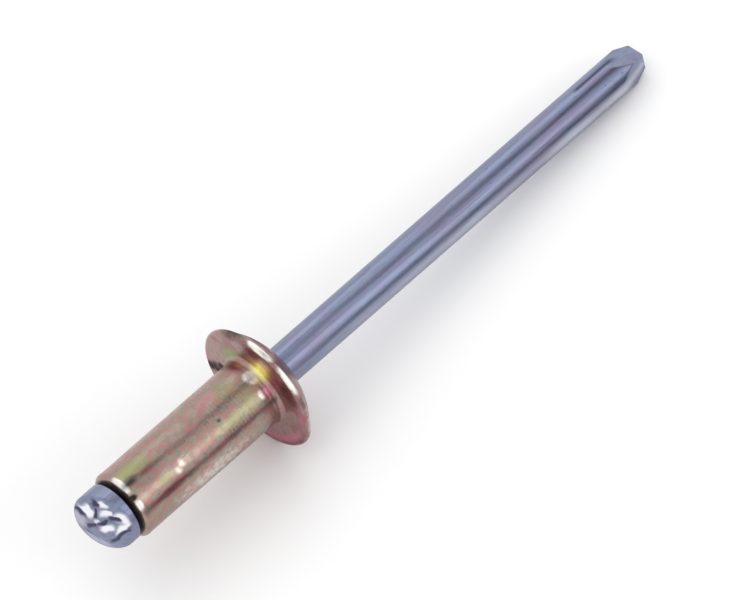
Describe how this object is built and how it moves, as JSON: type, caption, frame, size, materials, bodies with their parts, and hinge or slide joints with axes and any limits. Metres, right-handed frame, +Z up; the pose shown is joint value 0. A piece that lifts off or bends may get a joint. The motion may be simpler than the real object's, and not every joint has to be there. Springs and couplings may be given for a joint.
{
  "type": "blind rivet",
  "caption": "Unset open-end blind rivet with a domed flange, yellow-passivated steel body and zinc-plated pulling mandrel, lying on its side.",
  "frame": {"origin": "centre of the bearing face under the flange, on the axis of the rivet", "axes": "+Z up; the rivet lies on flange rim and a flat of its mandrel's point, so its axis runs along +X toward that point and dips 5.8 degrees below it; +Y to the left of that"},
  "size_m": [0.0404, 0.0074, 0.0075],
  "materials": {
    "yellow_passivated_steel": "yellow passivated zinc plate, iridescent",
    "zinc_plated_steel": "bright zinc plate"
  },
  "bodies": {
    "root": {"rivet_body": "yellow_passivated_steel", "mandrel": "zinc_plated_steel"}
  },
  "joints": []
}
